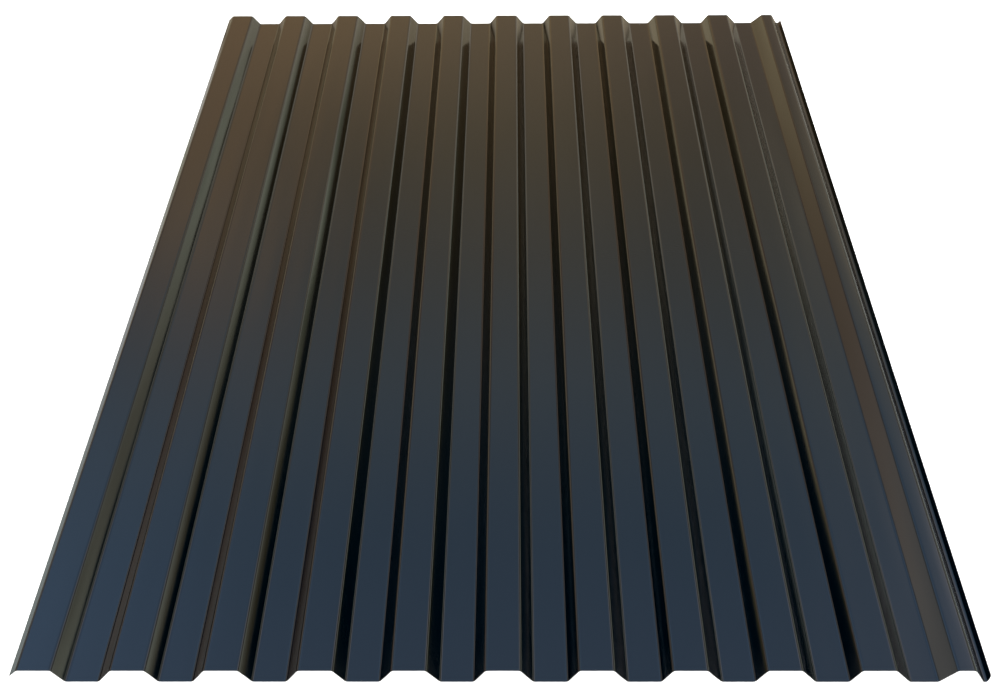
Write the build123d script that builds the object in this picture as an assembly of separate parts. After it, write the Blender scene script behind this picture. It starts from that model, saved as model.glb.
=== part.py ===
from build123d import *
import math
import os

# One roll-formed trapezoidal ("corrugated") cladding sheet, lying flat, painted side up.
# It is a single piece of coated steel: the ribs, the webs, the half web on the one long
# edge and the overlap rib with its drip channel on the other are all bent from one strip.
# X runs across the ribs, Y along them, Z is up. The origin is at the middle of the
# rectangle that the sheet covers, on the plane that the valleys rest on.

THICKNESS = 0.5         # coated steel strip
PITCH = 100.0           # rib to rib
RIBS = 10               # full ribs; the overlap rib is one more
CREST = 36.5            # flat top of a rib, corner to corner
RISE = 16.0             # valley floor to rib top, same face of the strip
WEB = 14.0              # plan width of a sloping web
LENGTH = 1750.0         # cut length
CREST_BEND = 5.0        # inside radius of the bends at the top of a rib
VALLEY_BEND = 5.0       # inside radius of the bends at the foot of a rib

EDGE_DROP = 8.0         # free edge: half a web, cut off below the first rib
EDGE_RUN = 8.4          # its plan width: it stands a little wider than a whole web, to lap over
LAP_WEB_IN = 18.0       # overlap rib: its web next to the last valley, in plan
LAP_CREST = 20.0        # its narrow top
LAP_WEB_OUT = 9.5       # its outer web, in plan
DRIP_FLOOR = 3.6        # drip channel under the outer web
DRIP_LIP = 4.4          # plan width of its upturned lip
DRIP_RISE = 4.5         # height of that lip
LIP_BEND = 2.0          # inside radius of the bends at the drip channel
LIP_CORNER = 7.0        # the lip's corner is cut round, in plan, at its near end only

VALLEY = PITCH - CREST - 2 * WEB


def face_line():
    """Corner points (x, z) of the painted face, from the free edge to the overlap's lip."""
    top, low = RISE + THICKNESS, THICKNESS
    pts = [(-EDGE_RUN, top - EDGE_DROP)]
    radii = []
    x = 0.0
    for i in range(RIBS):
        web_up = WEB if i < RIBS - 1 else LAP_WEB_IN
        valley = VALLEY - (web_up - WEB)
        pts += [(x, top), (x + CREST, top), (x + CREST + WEB, low), (x + CREST + WEB + valley, low)]
        radii += [CREST_BEND, CREST_BEND, VALLEY_BEND, VALLEY_BEND]
        x += PITCH
    pts += [(x, top), (x + LAP_CREST, top)]
    x += LAP_CREST + LAP_WEB_OUT
    pts += [(x, low), (x + DRIP_FLOOR, low), (x + DRIP_FLOOR + DRIP_LIP, low + DRIP_RISE)]
    radii += [CREST_BEND, CREST_BEND, LIP_BEND, LIP_BEND]
    return pts, radii


def strip_outline(pts, radii, t):
    """The two faces of the strip as lists of edges, bends concentric so that t is constant."""
    n = len(pts)
    dirs = []
    for a, b in zip(pts, pts[1:]):
        d = math.hypot(b[0] - a[0], b[1] - a[1])
        dirs.append(((b[0] - a[0]) / d, (b[1] - a[1]) / d))
    # the painted face is the left side of the strip as the line runs to +X; the back lies t below it
    upper, lower = [pts[0]], [(pts[0][0] + dirs[0][1] * t, pts[0][1] - dirs[0][0] * t)]
    up_edges, low_edges = [], []
    for i in range(1, n - 1):
        (ax, az), (bx, bz) = dirs[i - 1], dirs[i]
        turn = math.atan2(ax * bz - az * bx, ax * bx + az * bz)
        r_in = radii[i - 1]
        side = 1 if turn > 0 else -1        # centre of the bend is above (+) or below (-) the strip
        r_up = r_in if side > 0 else r_in + t
        r_low = r_in + t if side > 0 else r_in
        cut = r_up * math.tan(abs(turn) / 2)
        px, pz = pts[i]
        s = (px - ax * cut, pz - az * cut)
        e = (px + bx * cut, pz + bz * cut)
        # what is left of the straight run before this bend
        run = (s[0] - upper[-1][0]) * ax + (s[1] - upper[-1][1]) * az
        assert run > 0.2, (i, run)
        # normal to the left of the incoming direction
        nx, nz = -az, ax
        c = (s[0] + side * nx * r_up, s[1] + side * nz * r_up)
        mx, mz = px - c[0], pz - c[1]
        m = math.hypot(mx, mz)
        mid = (mx / m, mz / m)
        up_edges.append((upper[-1], s, (c[0] + mid[0] * r_up, c[1] + mid[1] * r_up), e))
        upper.append(e)
        ls = (s[0] - nx * t, s[1] - nz * t)
        bnx, bnz = -bz, bx
        le = (e[0] - bnx * t, e[1] - bnz * t)
        low_edges.append((lower[-1], ls, (c[0] + mid[0] * r_low, c[1] + mid[1] * r_low), le))
        lower.append(le)
    last = dirs[-1]
    end_up = pts[-1]
    end_low = (end_up[0] + last[1] * t, end_up[1] - last[0] * t)
    return up_edges, low_edges, (upper[-1], end_up), (lower[-1], end_low), pts[0], lower[0]


def lip_cutter(x_edge):
    """A prism with a hollow quarter round: what it takes off leaves the lip's near corner round."""
    y_end = -LENGTH / 2
    r = LIP_CORNER
    x_in, y_in = x_edge - r, y_end + r
    out = 2.0
    arc_mid = (x_in + r * math.sin(math.pi / 4), y_in - r * math.cos(math.pi / 4))
    corners = [(x_edge, y_in), (x_edge + out, y_in), (x_edge + out, y_end - out), (x_in, y_end - out), (x_in, y_end)]
    z = -1.0
    vs = [Vector(x, y, z) for x, y in corners]
    edges = [Edge.make_line(a, b) for a, b in zip(vs, vs[1:])]
    edges.append(Edge.make_three_point_arc(vs[-1], Vector(arc_mid[0], arc_mid[1], z), vs[0]))
    return Solid.extrude(Face(Wire(edges)), Vector(0, 0, RISE + 4))


def build_sheet():
    pts, radii = face_line()
    ups, lows, up_end, low_end, up_start, low_start = strip_outline(pts, radii, THICKNESS)
    # middle of the covered width goes to x = 0
    x_low = min(p[0] for p in pts + [low_start])
    x_high = max(p[0] for p in pts + [low_end[1]])
    shift = -(x_low + x_high) / 2

    def v(p):
        return Vector(p[0] + shift, -LENGTH / 2, p[1])

    edges = []
    for a, s, m, e in ups:
        edges += [Edge.make_line(v(a), v(s)), Edge.make_three_point_arc(v(s), v(m), v(e))]
    edges.append(Edge.make_line(v(up_end[0]), v(up_end[1])))
    edges.append(Edge.make_line(v(up_end[1]), v(low_end[1])))
    edges.append(Edge.make_line(v(low_end[0]), v(low_end[1])))
    for a, s, m, e in lows:
        edges += [Edge.make_line(v(a), v(s)), Edge.make_three_point_arc(v(s), v(m), v(e))]
    edges.append(Edge.make_line(v(up_start), v(low_start)))
    wire = Wire(edges)
    face = Face(wire)
    strip = Solid.extrude(face, Vector(0, LENGTH, 0))
    solid = (strip - lip_cutter(x_high + shift)).solids()
    assert len(solid) == 1, len(solid)
    return solid[0], shift


corrugated_sheet, shift_x = build_sheet()
corrugated_sheet.label = "corrugated_sheet"

os.makedirs("parts", exist_ok=True)
export_step(corrugated_sheet, "parts/corrugated_sheet.step")

box = corrugated_sheet.bounding_box()
print("size", [round(c, 3) for c in tuple(box.size)], "low", [round(c, 3) for c in tuple(box.min)])
print("volume", round(corrugated_sheet.volume), "valid", corrugated_sheet.is_valid)
print("developed width", round(corrugated_sheet.volume / LENGTH / THICKNESS, 1), "valley", VALLEY, "shift", round(shift_x, 3))
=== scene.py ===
import math

import bpy
import numpy as np
from mathutils import Matrix, Vector


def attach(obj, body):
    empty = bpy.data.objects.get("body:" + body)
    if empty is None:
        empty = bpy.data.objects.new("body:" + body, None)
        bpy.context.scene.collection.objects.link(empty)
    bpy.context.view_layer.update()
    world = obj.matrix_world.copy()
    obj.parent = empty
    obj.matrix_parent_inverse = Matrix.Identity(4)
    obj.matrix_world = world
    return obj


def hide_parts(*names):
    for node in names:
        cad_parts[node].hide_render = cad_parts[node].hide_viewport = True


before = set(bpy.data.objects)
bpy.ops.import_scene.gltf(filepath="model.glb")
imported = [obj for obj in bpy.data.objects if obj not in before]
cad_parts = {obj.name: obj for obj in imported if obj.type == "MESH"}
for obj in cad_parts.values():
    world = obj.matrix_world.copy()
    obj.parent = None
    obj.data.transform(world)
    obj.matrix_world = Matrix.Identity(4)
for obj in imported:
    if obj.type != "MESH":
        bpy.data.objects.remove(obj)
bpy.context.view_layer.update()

scene = bpy.context.scene
scene.view_settings.view_transform = "Standard"
scene.view_settings.look = "None"
scene.view_settings.exposure = 0.0
scene.view_settings.gamma = 1.0
# a little haze is taken off, so that the deepest webs are black
scene.view_settings.use_curve_mapping = True
scene.view_settings.curve_mapping.black_level = (0.0060, 0.0060, 0.0070)
scene.view_settings.curve_mapping.update()

MM = 0.001

# ---------------------------------------------------------------- camera
# The long look down the sheet from its near end: 33.8 degrees below the horizon, 2.2 m in front of
# the middle and 1.3 m up.
PITCH_DOWN, YAW, ROLL = math.radians(33.802), math.radians(0.472), math.radians(-0.324)
EYE = Vector((0.013142, -2.221500, 1.327894))
LENS = 62.744

OPEN_SHARE = 0.995      # share of the floor's light that the sheet doesn't shade
SHEET_SHARE = 0.028     # the sheet's own diffuse light, as a share of the floor's


def make_camera():
    c, s = math.cos(YAW), math.sin(YAW)
    right = Vector((c, s, 0.0))
    forward = Vector((-s * math.cos(PITCH_DOWN), c * math.cos(PITCH_DOWN), -math.sin(PITCH_DOWN)))
    down = Vector((s * math.sin(PITCH_DOWN), -c * math.sin(PITCH_DOWN), -math.cos(PITCH_DOWN)))
    r = math.cos(ROLL) * right - math.sin(ROLL) * down
    d = math.sin(ROLL) * right + math.cos(ROLL) * down
    data = bpy.data.cameras.new("camera")
    data.sensor_fit = "HORIZONTAL"
    data.sensor_width = 36.0
    data.lens = LENS
    data.clip_start, data.clip_end = 0.05, 200.0
    cam = bpy.data.objects.new("camera", data)
    m = Matrix((r, -d, -forward)).transposed().to_4x4()
    m.translation = EYE
    cam.matrix_world = m
    scene.collection.objects.link(cam)
    scene.camera = cam
    return cam


make_camera()

# ---------------------------------------------------------------- the section of the sheet, in mm
THICKNESS, PITCH, RIBS, CREST, RISE, WEB, LENGTH = 0.5, 100.0, 10, 36.5, 16.0, 14.0, 1750.0
CREST_BEND, VALLEY_BEND, EDGE_DROP, EDGE_RUN = 5.0, 5.0, 8.0, 8.4
LAP_WEB_IN, LAP_CREST, LAP_WEB_OUT = 18.0, 20.0, 9.5
DRIP_FLOOR, DRIP_LIP, DRIP_RISE, LIP_BEND, LIP_CORNER = 3.6, 4.4, 4.5, 2.0, 7.0
VALLEY = PITCH - CREST - 2 * WEB
# Rolled webs aren't all alike. For each, left to right: how many degrees steeper than the drawing it
# stands, and how many degrees it bows out at its ends, where the bends are.
RIGHT_WEBS = [(0, 0), (0, 3), (-1, 3), (0, 0), (-2.5, 0), (0.5, -2), (-1.5, -3), (-3, -3), (-2, 2), (-2.5, -1)]
LEFT_WEBS = [(0.5, -1), (2, -2), (3, -3), (1, -2), (3, -1), (3.5, 0), (3.5, 1), (2, 2), (3, 1), (-2.5, 1)]
ARC_STEPS = 8           # faces round a bend
GUARD = 0.35            # narrow face beside a bend, so that the flats shade flat
STATIONS = 64           # faces along the length


def narrower(width, steeper):
    """Half of what a web's plan width loses when it stands steeper, in degrees."""
    return (width - RISE / math.tan(math.atan2(RISE, width) + math.radians(steeper))) / 2


def corner_points():
    top, low = RISE + THICKNESS, THICKNESS
    pts = [(-EDGE_RUN, top - EDGE_DROP)]
    radii = []
    x = 0.0
    left = 0.0                      # how far this rib's left corner is moved in
    for i in range(RIBS):
        web_up = WEB if i < RIBS - 1 else LAP_WEB_IN
        right = narrower(WEB, RIGHT_WEBS[i][0])
        nxt = narrower(web_up, LEFT_WEBS[i][0])
        pts += [(x - left, top), (x + CREST + right, top), (x + CREST + WEB - right, low),
                (x + PITCH - web_up + nxt, low)]
        left = nxt
        radii += [CREST_BEND, CREST_BEND, VALLEY_BEND, VALLEY_BEND]
        x += PITCH
    pts += [(x - left, top), (x + LAP_CREST, top)]
    x += LAP_CREST + LAP_WEB_OUT
    pts += [(x, low), (x + DRIP_FLOOR, low), (x + DRIP_FLOOR + DRIP_LIP, low + DRIP_RISE)]
    radii += [CREST_BEND, CREST_BEND, LIP_BEND, LIP_BEND]
    return pts, radii


def section():
    """Matched points of the painted face and the back, with the normal at each, the share of the way
    across its flat (0 at a bend) and the flat's number."""
    pts, radii = corner_points()
    t = THICKNESS
    n = len(pts)
    dirs = []
    for a, b in zip(pts, pts[1:]):
        d = math.hypot(b[0] - a[0], b[1] - a[1])
        dirs.append(((b[0] - a[0]) / d, (b[1] - a[1]) / d))
    rows = []                       # (x, z, nx, nz, share, flat)

    def flat(a, b, k, first, last):
        """Points from a to b on flat number k, with the guards beside its bends."""
        length = math.hypot(b[0] - a[0], b[1] - a[1])
        nx, nz = -dirs[k][1], dirs[k][0]
        inner = max(2 if k < n - 3 else 6, int(round(length / 7.0)))
        shares = [0.0] + ([GUARD / length] if not first else [])
        lo = GUARD / length if not first else 0.0
        hi = 1 - GUARD / length if not last else 1.0
        # closer together towards the lip's edge, where its corner is round
        shares += [lo + (hi - lo) * (i / inner if not last else 1 - (1 - i / inner) ** 2) for i in range(1, inner)]
        shares += [hi, 1.0] if not last else [0.992, 1.0]
        for s in shares:
            rows.append((a[0] + (b[0] - a[0]) * s, a[1] + (b[1] - a[1]) * s, nx, nz, s, k))

    start = pts[0]
    for i in range(1, n - 1):
        (ax, az), (bx, bz) = dirs[i - 1], dirs[i]
        turn = math.atan2(ax * bz - az * bx, ax * bx + az * bz)
        side = 1 if turn > 0 else -1
        r_up = radii[i - 1] if side > 0 else radii[i - 1] + t
        cut = r_up * math.tan(abs(turn) / 2)
        px, pz = pts[i]
        s = (px - ax * cut, pz - az * cut)
        e = (px + bx * cut, pz + bz * cut)
        nx, nz = -az, ax
        c = (s[0] + side * nx * r_up, s[1] + side * nz * r_up)
        flat(start, s, i - 1, i == 1, False)
        steps = ARC_STEPS if r_up > 2 else 4
        for j in range(1, steps):
            a = turn * j / steps
            mx, mz = nx * math.cos(a) - nz * math.sin(a), nx * math.sin(a) + nz * math.cos(a)
            rows.append((c[0] - side * mx * r_up, c[1] - side * mz * r_up, mx, mz, 0.0, -1))
        start = e
    flat(start, pts[-1], n - 2, False, True)
    rows = np.array(rows, float)
    back = rows[:, :2] - rows[:, 2:4] * t
    lo = min(rows[:, 0].min(), back[:, 0].min())
    hi = max(rows[:, 0].max(), back[:, 0].max())
    rows[:, 0] -= (lo + hi) / 2
    return rows


rows = section()
print("section points", len(rows), "x", rows[:, 0].min(), rows[:, 0].max())

# ---------------------------------------------------------------- how flat the flats are
# Rolled strip is never quite flat: each flat crowns or dishes by up to a few tenths of a millimetre,
# and each web leans a little one way or the other along its length.
rng = np.random.default_rng(41)


def slow_noise(count, y, shortest, longest, waves=7):
    """One smooth random curve along y for each of count flats, about -1 to 1."""
    out = np.zeros((count, len(y)))
    for _ in range(waves):
        wave = rng.uniform(shortest, longest, (count, 1))
        out += rng.normal(0, 1, (count, 1)) * np.sin(2 * np.pi * (y[None] / wave + rng.uniform(0, 1, (count, 1))))
    return out / math.sqrt(waves / 2)


ys = np.linspace(-LENGTH / 2, LENGTH / 2, STATIONS + 1)
flats = int(rows[:, 5].max()) + 1
crown = slow_noise(flats, ys, 300, 1500) * 0.035
crown[1 + 4 * RIBS] += 0.10     # the narrow overlap rib's top is a little round
lean = slow_noise(flats, ys, 250, 1400) * 0.022
bow = np.zeros(flats)
for k in range(RIBS):
    for flat, (steeper, out) in ((2 + 4 * k, RIGHT_WEBS[k]), (4 + 4 * k, LEFT_WEBS[k])):
        bow[flat] = math.radians(out) * 16.5 / 4


def build_sheet():
    m, n = len(ys), len(rows)
    off = np.zeros((m, n))
    for i, row in enumerate(rows):
        k, share = int(row[5]), row[4]
        if k >= 0:
            off[:, i] = crown[k] * math.sin(math.pi * share) + lean[k] * math.sin(2 * math.pi * share)
            off[:, i] += bow[k] * 4 * share * (1 - share)
    # the feet of the valleys stay on the floor's plane
    normal = rows[:, 2:4]
    top = rows[None, :, :2] + normal[None] * off[:, :, None]
    back = top - normal[None] * THICKNESS
    verts = np.zeros((2, m, n, 3))
    verts[0, :, :, 0], verts[0, :, :, 2] = top[:, :, 0], top[:, :, 1]
    verts[1, :, :, 0], verts[1, :, :, 2] = back[:, :, 0], back[:, :, 1]
    verts[:, :, :, 1] = ys[None, :, None]
    # the lip's near corner is cut round in plan
    inside = verts[:, 0, :, 0] - (verts[:, 0, :, 0].max() - LIP_CORNER)
    cut = LIP_CORNER - np.sqrt(np.maximum(LIP_CORNER ** 2 - np.maximum(inside, 0.0) ** 2, 0.0))
    verts[:, 0, :, 1] += cut
    low = verts[..., 2].min()
    if low < 0:
        verts[..., 2] = np.maximum(verts[..., 2], 0.0)
    verts = verts.reshape(-1, 3) * MM

    def at(side, j, i):
        return (side * m + j) * n + i

    faces, slots = [], []
    for j in range(m - 1):
        for i in range(n - 1):
            faces.append((at(0, j, i), at(0, j, i + 1), at(0, j + 1, i + 1), at(0, j + 1, i)))
            slots.append(0)
            faces.append((at(1, j, i), at(1, j + 1, i), at(1, j + 1, i + 1), at(1, j, i + 1)))
            slots.append(1)
        faces.append((at(0, j, 0), at(0, j + 1, 0), at(1, j + 1, 0), at(1, j, 0)))
        faces.append((at(0, j, n - 1), at(1, j, n - 1), at(1, j + 1, n - 1), at(0, j + 1, n - 1)))
        slots += [2, 2]
    for i in range(n - 1):
        faces.append((at(0, 0, i), at(1, 0, i), at(1, 0, i + 1), at(0, 0, i + 1)))
        faces.append((at(0, m - 1, i), at(0, m - 1, i + 1), at(1, m - 1, i + 1), at(1, m - 1, i)))
        slots += [2, 2]
    mesh = bpy.data.meshes.new("sheet")
    mesh.from_pydata(verts.tolist(), [], faces)
    mesh.polygons.foreach_set("material_index", np.array(slots, np.int32))
    mesh.polygons.foreach_set("use_smooth", np.array([s < 2 for s in slots], bool))
    mesh.update()
    # cut edges are sharp
    edge = np.zeros(len(verts), bool)
    flags = edge.reshape(2, m, n)
    flags[:, 0, :] = flags[:, -1, :] = True
    flags[:, :, 0] = flags[:, :, -1] = True
    ev = np.zeros(len(mesh.edges) * 2, np.int32)
    mesh.edges.foreach_get("vertices", ev)
    ev = ev.reshape(-1, 2)
    slot_of = np.array(slots)
    sharp = np.zeros(len(mesh.edges), bool)
    lookup = {}
    for e, (a, b) in enumerate(ev):
        if edge[a] and edge[b]:
            lookup[(min(a, b), max(a, b))] = e
    for f, s in zip(faces, slots):
        if s == 2:
            for a, b in zip(f, f[1:] + f[:1]):
                e = lookup.get((min(a, b), max(a, b)))
                if e is not None:
                    sharp[e] = True
    # between neighbouring faces of one cut end there is nothing to see, so all its edges may be sharp
    attribute = mesh.attributes.new("sharp_edge", "BOOLEAN", "EDGE")
    attribute.data.foreach_set("value", sharp)
    mesh.validate()
    ob = bpy.data.objects.new("coated_sheet", mesh)
    scene.collection.objects.link(ob)
    return ob


sheet = build_sheet()
print("faces", len(sheet.data.polygons))


# ---------------------------------------------------------------- materials
def nodes_of(mat):
    mat.use_nodes = True
    nt = mat.node_tree
    nt.nodes.clear()
    out = nt.nodes.new("ShaderNodeOutputMaterial")
    p = nt.nodes.new("ShaderNodeBsdfPrincipled")
    nt.links.new(p.outputs["BSDF"], out.inputs["Surface"])
    return nt, p


def coords(nt, scale):
    tc = nt.nodes.new("ShaderNodeTexCoord")
    mp = nt.nodes.new("ShaderNodeMapping")
    mp.inputs["Scale"].default_value = scale
    nt.links.new(tc.outputs["Object"], mp.inputs["Vector"])
    return mp.outputs["Vector"]


def noise(nt, vector, scale, detail=3.0, rough=0.5):
    n = nt.nodes.new("ShaderNodeTexNoise")
    n.inputs["Scale"].default_value = scale
    n.inputs["Detail"].default_value = detail
    n.inputs["Roughness"].default_value = rough
    nt.links.new(vector, n.inputs["Vector"])
    return n.outputs["Fac"]


def ramp(nt, fac, stops):
    r = nt.nodes.new("ShaderNodeValToRGB")
    while len(r.color_ramp.elements) < len(stops):
        r.color_ramp.elements.new(0.5)
    for e, (pos, col) in zip(r.color_ramp.elements, stops):
        e.position = pos
        e.color = (*col, 1.0) if len(col) == 3 else col
    nt.links.new(fac, r.inputs["Fac"])
    return r.outputs["Color"]


def span(nt, value, a, b, to_a, to_b):
    m = nt.nodes.new("ShaderNodeMapRange")
    m.clamp = True
    for name, v in (("From Min", a), ("From Max", b), ("To Min", to_a), ("To Max", to_b)):
        m.inputs[name].default_value = v
    nt.links.new(value, m.inputs["Value"])
    return m.outputs["Result"]


def calc(nt, op, a, b=None):
    m = nt.nodes.new("ShaderNodeMath")
    m.operation = op
    for socket, v in ((0, a), (1, b)):
        if v is None:
            continue
        if isinstance(v, (int, float)):
            m.inputs[socket].default_value = v
        else:
            nt.links.new(v, m.inputs[socket])
    return m.outputs[0]


def coating():
    mat = bpy.data.materials.new("dark_coating")
    nt, p = nodes_of(mat)
    v = coords(nt, (1, 1, 1))
    broad = noise(nt, v, 3.0, 3.0)
    colour = ramp(nt, broad, [(0.3, (0.030, 0.030, 0.029)), (0.7, (0.036, 0.036, 0.035))])
    nt.links.new(colour, p.inputs["Base Color"])
    haze = noise(nt, coords(nt, (6, 1.2, 6)), 4.0, 4.0)
    nt.links.new(span(nt, haze, 0.3, 0.7, 0.09, 0.12), p.inputs["Roughness"])
    p.inputs["IOR"].default_value = 1.5
    peel = noise(nt, v, 420.0, 2.0)
    bump = nt.nodes.new("ShaderNodeBump")
    bump.inputs["Strength"].default_value = 0.05
    bump.inputs["Distance"].default_value = 0.0004
    nt.links.new(peel, bump.inputs["Height"])
    nt.links.new(bump.outputs["Normal"], p.inputs["Normal"])
    return mat


def back_coat():
    mat = bpy.data.materials.new("grey_back_coat")
    nt, p = nodes_of(mat)
    v = coords(nt, (1, 1, 1))
    colour = ramp(nt, noise(nt, v, 5.0, 4.0), [(0.3, (0.36, 0.36, 0.34)), (0.7, (0.43, 0.43, 0.41))])
    nt.links.new(colour, p.inputs["Base Color"])
    nt.links.new(span(nt, noise(nt, coords(nt, (60, 2, 60)), 6.0, 3.0), 0.3, 0.7, 0.38, 0.5), p.inputs["Roughness"])
    return mat


def cut_steel():
    mat = bpy.data.materials.new("cut_edge")
    nt, p = nodes_of(mat)
    v = coords(nt, (1, 1, 1))
    colour = ramp(nt, noise(nt, v, 90.0, 3.0), [(0.35, (0.10, 0.095, 0.09)), (0.7, (0.30, 0.29, 0.28))])
    nt.links.new(colour, p.inputs["Base Color"])
    p.inputs["Metallic"].default_value = 0.6
    nt.links.new(span(nt, noise(nt, v, 200.0, 2.0), 0.3, 0.7, 0.4, 0.6), p.inputs["Roughness"])
    return mat


for mat in (coating(), back_coat(), cut_steel()):
    sheet.data.materials.append(mat)
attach(sheet, "root")
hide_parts("corrugated_sheet")


# ---------------------------------------------------------------- floor
# painted reflection and painted shade: the colour the floor glows with in the sheet's gloss, dark just past the
# sheet's far end
PAINTED_FLOOR_REFLECTION = [                                 # metres along Y, colour
    (-0.65, (0.73, 0.82, 0.81)),
    (-0.29, (0.77, 0.80, 0.79)),
    (-0.05, (0.93, 0.94, 0.93)),
    (0.12, (0.88, 0.87, 0.79)),
    (0.30, (0.66, 0.64, 0.53)),
    (0.40, (0.60, 0.58, 0.46)),
    (0.50, (0.84, 0.81, 0.74)),
    (0.70, (0.88, 0.82, 0.74)),
    (0.86, (0.36, 0.28, 0.20)),
    (0.91, (0.42, 0.35, 0.26)),
    (0.98, (0.66, 0.56, 0.40)),
    (1.15, (0.90, 0.76, 0.52)),
]


def make_floor():
    mesh = bpy.data.meshes.new("floor")
    s = 60.0
    mesh.from_pydata([(-s, -s, -0.0002), (s, -s, -0.0002), (s, s, -0.0002), (-s, s, -0.0002)], [], [(0, 1, 2, 3)])
    ob = bpy.data.objects.new("floor", mesh)
    scene.collection.objects.link(ob)
    mat = bpy.data.materials.new("pale_floor")
    nt, p = nodes_of(mat)
    v = coords(nt, (1, 1, 1))
    colour = ramp(nt, noise(nt, v, 1.3, 2.0), [(0.3, (0.80, 0.80, 0.80)), (0.7, (0.82, 0.82, 0.82))])
    nt.links.new(colour, p.inputs["Base Color"])
    p.inputs["Roughness"].default_value = 0.9
    p.inputs["Specular IOR Level"].default_value = 0.0
    # lit from below a little, so that it stays white inside the ribs' mouths
    p.inputs["Emission Color"].default_value = (1, 1, 1, 1)
    p.inputs["Emission Strength"].default_value = 0.4
    # painted reflection: to glossy rays the floor glows in place of its lit colour, dimmer, cool beside the sheet
    # and warm past its far end, with painted shade just past that end
    place = nt.nodes.new("ShaderNodeSeparateXYZ")
    nt.links.new(v, place.inputs["Vector"])
    lo, hi = PAINTED_FLOOR_REFLECTION[0][0], PAINTED_FLOOR_REFLECTION[-1][0]
    glow = nt.nodes.new("ShaderNodeEmission")
    nt.links.new(ramp(nt, span(nt, place.outputs["Y"], lo, hi, 0.0, 1.0), [
        ((y - lo) / (hi - lo), colour) for y, colour in PAINTED_FLOOR_REFLECTION]), glow.inputs["Color"])
    # painted shade: just past the sheet's far end the floor's glow in reflections is darkened, most of all right of
    # the middle
    side = calc(nt, "POWER", calc(nt, "ABSOLUTE", calc(nt, "DIVIDE", calc(nt, "SUBTRACT", place.outputs["X"], 0.09), 0.19)), 2.0)
    past = calc(nt, "DIVIDE", calc(nt, "ABSOLUTE", calc(nt, "SUBTRACT", place.outputs["Y"], 0.875)), 0.055)
    reach = calc(nt, "POWER", calc(nt, "MULTIPLY", past, calc(nt, "ADD", side, 1.0)), 4.0)
    shade = calc(nt, "EXPONENT", calc(nt, "MULTIPLY", reach, -1.0))
    nt.links.new(calc(nt, "SUBTRACT", 1.0, calc(nt, "MULTIPLY", shade, 0.95)), glow.inputs["Strength"])
    path = nt.nodes.new("ShaderNodeLightPath")
    mix = nt.nodes.new("ShaderNodeMixShader")
    nt.links.new(path.outputs["Is Glossy Ray"], mix.inputs["Fac"])
    nt.links.new(p.outputs["BSDF"], mix.inputs[1])
    nt.links.new(glow.outputs["Emission"], mix.inputs[2])
    out = next(node for node in nt.nodes if node.type == "OUTPUT_MATERIAL")
    nt.links.new(mix.outputs["Shader"], out.inputs["Surface"])
    mesh.materials.append(mat)
    return ob


floor = make_floor()


# ---------------------------------------------------------------- light
def group_of(name, *objects):
    coll = bpy.data.collections.new(name)
    for ob in objects:
        coll.objects.link(ob)
    return coll


def soft_box(name, place, aim, size, power, receivers=None, blockers=None):
    """A plain white panel that lights by diffuse light alone."""
    data = bpy.data.lights.new(name, "AREA")
    data.shape = "RECTANGLE"
    data.size, data.size_y = size
    data.energy = power
    ob = bpy.data.objects.new(name, data)
    ob.location = place
    ob.rotation_mode = "QUATERNION"
    ob.rotation_quaternion = (Vector(aim) - Vector(place)).to_track_quat("-Z", "Y")
    ob.visible_glossy = False
    ob.visible_camera = False
    if receivers:
        ob.light_linking.receiver_collection = receivers
    if blockers:
        ob.light_linking.blocker_collection = blockers
    scene.collection.objects.link(ob)
    return ob


# The floor has its own light, so that it stays pale beside a nearly black sheet; the sheet's is weaker.
on_floor = group_of("lit_floor", floor)
on_sheet = group_of("lit_sheet", sheet)
for name, place, aim, size, power in (
        ("overhead", (0, 0.3, 5.0), (0, 0.3, 0), (7, 7), 520),
        ("front", (0, -6.5, 2.6), (0, 0, 0), (8, 3), 420),
        ("left", (-6.5, 0.5, 2.6), (0, 0, 0), (7, 3), 180),
        ("right", (6.5, 0.5, 2.6), (0, 0, 0), (7, 3), 180),
        ("far", (0, 7.0, 2.6), (0, 0, 0), (8, 3), 180)):
    soft_box(name + "_floor", place, aim, size, power * OPEN_SHARE, on_floor, on_floor)
    soft_box(name + "_shade", place, aim, size, power * (1 - OPEN_SHARE), on_floor)
    soft_box(name + "_sheet", place, aim, size, power * SHEET_SHARE, on_sheet)


# What the gloss reflects: a ramp from a warm horizon to a cool zenith, and some broad soft panels.
RAMP = [                                        # degrees above the horizon, colour
    (-5, (0.09, 0.00, 0.00)),
    (3, (0.01, 0.03, 0.00)),
    (8, (0.13, 0.01, 0.00)),
    (14, (0.21, 0.07, 0.05)),
    (19, (0.36, 0.12, 0.00)),
    (23, (0.20, 0.16, 0.19)),
    (27, (0.25, 0.24, 0.23)),
    (31, (0.36, 0.40, 0.43)),
    (35, (0.47, 0.62, 0.78)),
    (40, (0.44, 0.67, 1.00)),
    (50, (0.74, 1.05, 1.64)),
    (80, (0.80, 0.95, 1.20)),
]
PANELS = [                                      # degrees right of +Y, spread, degrees up, spread, colour
    (-46, 17, 20, 4.7, (1.02, 1.17, 1.21)),
    (43, 33, 16, 4.4, (0.75, 1.07, 1.04)),
    (-8, 5, 23, 2.7, (0.37, 0.23, 0.08)),
    (-10, 16, 14, 4.1, (1.32, 1.24, 0.74)),
    (52, 15, 10, 3.4, (1.30, 1.51, 1.25)),
    (29, 7, 7, 2.8, (0.81, 0.93, 0.75)),
    (-15, 23, 1, 2.5, (0.98, 0.83, 0.56)),
    (-28, 12, 40, 7.5, (0.35, 0.57, 0.97)),
    (16, 5, 26, 5.6, (0.92, 0.77, 0.51)),
    (-35, 9, 6, 2.9, (1.27, 1.17, 0.84)),
    (-0, 9, 20, 11.3, (0.52, 0.38, 0.17)),
    (27, 8, 38, 6.0, (1.41, 1.23, 1.19)),
    (17, 5, 3, 6.0, (2.84, 2.41, 1.86)),
    (-12, 4, 28, 4.9, (0.53, 0.31, 0.13)),
]


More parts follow.
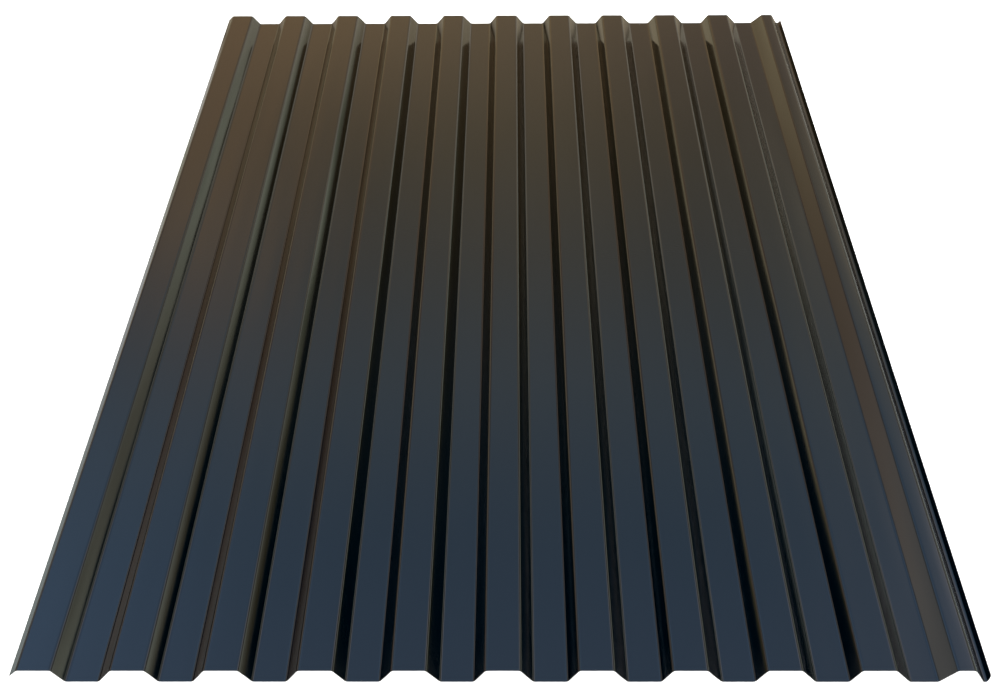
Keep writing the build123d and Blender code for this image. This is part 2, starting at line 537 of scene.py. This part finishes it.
def make_world():
    world = bpy.data.worlds.new("studio")
    scene.world = world
    world.use_nodes = True
    nt = world.node_tree
    nt.nodes.clear()

    def maths(op, a, b=None):
        return calc(nt, op, a, b)

    tc = nt.nodes.new("ShaderNodeTexCoord")
    norm = nt.nodes.new("ShaderNodeVectorMath")
    norm.operation = "NORMALIZE"
    nt.links.new(tc.outputs["Generated"], norm.inputs[0])
    sep = nt.nodes.new("ShaderNodeSeparateXYZ")
    nt.links.new(norm.outputs["Vector"], sep.inputs["Vector"])
    up = maths("MULTIPLY", maths("ARCSINE", sep.outputs["Z"]), math.degrees(1))
    round_ = maths("MULTIPLY", maths("ARCTAN2", sep.outputs["X"], sep.outputs["Y"]), math.degrees(1))

    lo, hi = RAMP[0][0], RAMP[-1][0]
    sky = ramp(nt, span(nt, up, lo, hi, 0.0, 1.0), [((e - lo) / (hi - lo), c) for e, c in RAMP])
    for az, w_az, el, w_el, colour in PANELS:
        a = maths("POWER", maths("ABSOLUTE", maths("DIVIDE", maths("SUBTRACT", round_, az), w_az)), 2.0)
        b = maths("POWER", maths("ABSOLUTE", maths("DIVIDE", maths("SUBTRACT", up, el), w_el)), 2.0)
        glow = maths("EXPONENT", maths("MULTIPLY", maths("ADD", a, b), -1.0))
        tint = nt.nodes.new("ShaderNodeVectorMath")
        tint.operation = "SCALE"
        tint.inputs[0].default_value = colour
        nt.links.new(glow, tint.inputs["Scale"])
        both = nt.nodes.new("ShaderNodeVectorMath")
        both.operation = "ADD"
        nt.links.new(sky, both.inputs[0])
        nt.links.new(tint.outputs["Vector"], both.inputs[1])
        sky = both.outputs["Vector"]

    bg = nt.nodes.new("ShaderNodeBackground")
    nt.links.new(sky, bg.inputs["Color"])
    plain = nt.nodes.new("ShaderNodeBackground")
    plain.inputs["Color"].default_value = (0.86, 0.86, 0.86, 1)
    path = nt.nodes.new("ShaderNodeLightPath")
    mix = nt.nodes.new("ShaderNodeMixShader")
    nt.links.new(path.outputs["Is Camera Ray"], mix.inputs["Fac"])
    nt.links.new(bg.outputs[0], mix.inputs[1])
    nt.links.new(plain.outputs[0], mix.inputs[2])
    out = nt.nodes.new("ShaderNodeOutputWorld")
    nt.links.new(mix.outputs[0], out.inputs["Surface"])
    world.cycles_visibility.diffuse = False


make_world()
